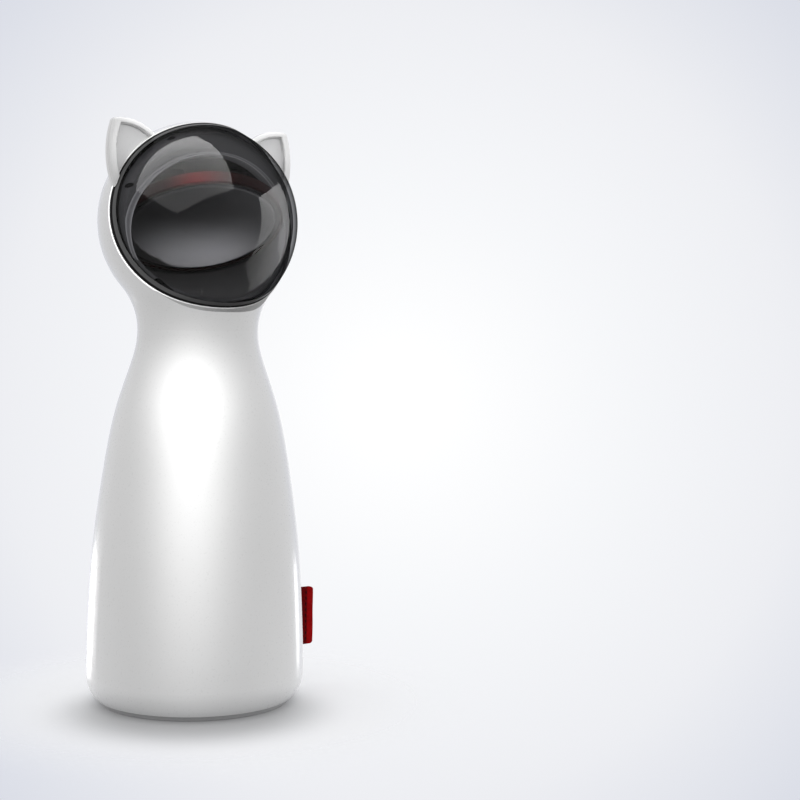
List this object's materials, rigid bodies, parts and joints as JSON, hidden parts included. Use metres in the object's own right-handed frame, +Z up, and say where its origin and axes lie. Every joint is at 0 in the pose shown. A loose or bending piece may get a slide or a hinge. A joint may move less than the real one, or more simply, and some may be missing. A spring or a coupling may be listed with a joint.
{
  "type": "cat_laser_toy",
  "caption": "Cat-shaped automatic laser toy: tall white body with ears, tinted dome over a spinning slanted mirror, battery door in the base, push button at the back",
  "frame": {"origin": "middle of the rest face, on the underside of the rubber foot ring", "axes": "+Z up, the face looks along -Y, the side tag points along +X"},
  "size_m": [0.0889, 0.078, 0.2075],
  "materials": {
    "white_casing": "glossy moulded",
    "tinted_dome": "smoke tinted, clear gloss",
    "black_plastic": "fine moulded",
    "dark_mirror": "dark satin mirror",
    "red_plastic": "glossy moulded",
    "steel": "plated",
    "gear_plastic": "moulded acetal",
    "brass_metal": "turned",
    "grey_rubber": "matte",
    "cell_wrap": "plain shrink sleeve",
    "contact_metal": "nickel plated",
    "board_green": "solder resist",
    "button_grey": "soft touch",
    "red_fabric": "woven ribbon"
  },
  "bodies": {
    "root": {"front_shell": "white_casing", "rear_shell": "white_casing", "lens_dome": "tinted_dome", "bezel_mask": "black_plastic", "inner_bowl": "black_plastic", "pan_motor": "steel", "motor_plate": "black_plastic", "shaft_bush": "brass_metal", "laser_module": "brass_metal", "laser_mount": "black_plastic", "base_plate": "white_casing", "foot_ring": "grey_rubber", "battery_cells": "cell_wrap", "battery_contacts": "contact_metal", "door_pin": "steel", "control_board": "board_green", "board_parts": "black_plastic", "tact_switch": "black_plastic", "usb_board": "board_green", "usb_socket": "steel", "case_screws": "steel", "base_screws": "steel", "plate_screws": "steel", "motor_screws": "steel", "board_screws": "steel", "laser_screws": "steel", "side_tag": "red_fabric"},
    "mirror_unit": {"mirror_disc": "dark_mirror", "mirror_holder": "black_plastic", "red_ring": "red_plastic", "mirror_shaft": "steel", "shaft_clip": "steel", "mirror_gear": "gear_plastic"},
    "motor_rotor": {"motor_shaft": "steel", "motor_pinion": "gear_plastic"},
    "button": {"power_button": "button_grey", "switch_plunger": "black_plastic"},
    "door": {"battery_door": "white_casing", "door_contacts": "contact_metal"}
  },
  "joints": [
    {"name": "mirror_spin", "type": "hinge", "parent": "root", "child": "mirror_unit", "pos_m": [0, -0.0013, 0.1696], "axis": [0, 0.4848, 0.8746], "continuous": true},
    {"name": "motor_turn", "type": "hinge", "parent": "root", "child": "motor_rotor", "pos_m": [0, 0.0092, 0.16378], "axis": [0, 0.4848, 0.8746], "continuous": true},
    {"name": "button_press", "type": "slide", "parent": "root", "child": "button", "axis": [0, -1, 0], "range_m": [0, 0.0008], "stiffness_N_per_m": 400},
    {"name": "door_swing", "type": "hinge", "parent": "root", "child": "door", "pos_m": [0, 0.0204, 0.0033], "axis": [1, 0, 0], "range_deg": [0, 95]}
  ],
  "couplings": [
    {"joint": "motor_turn", "follows": "mirror_spin", "ratio": -3}
  ]
}
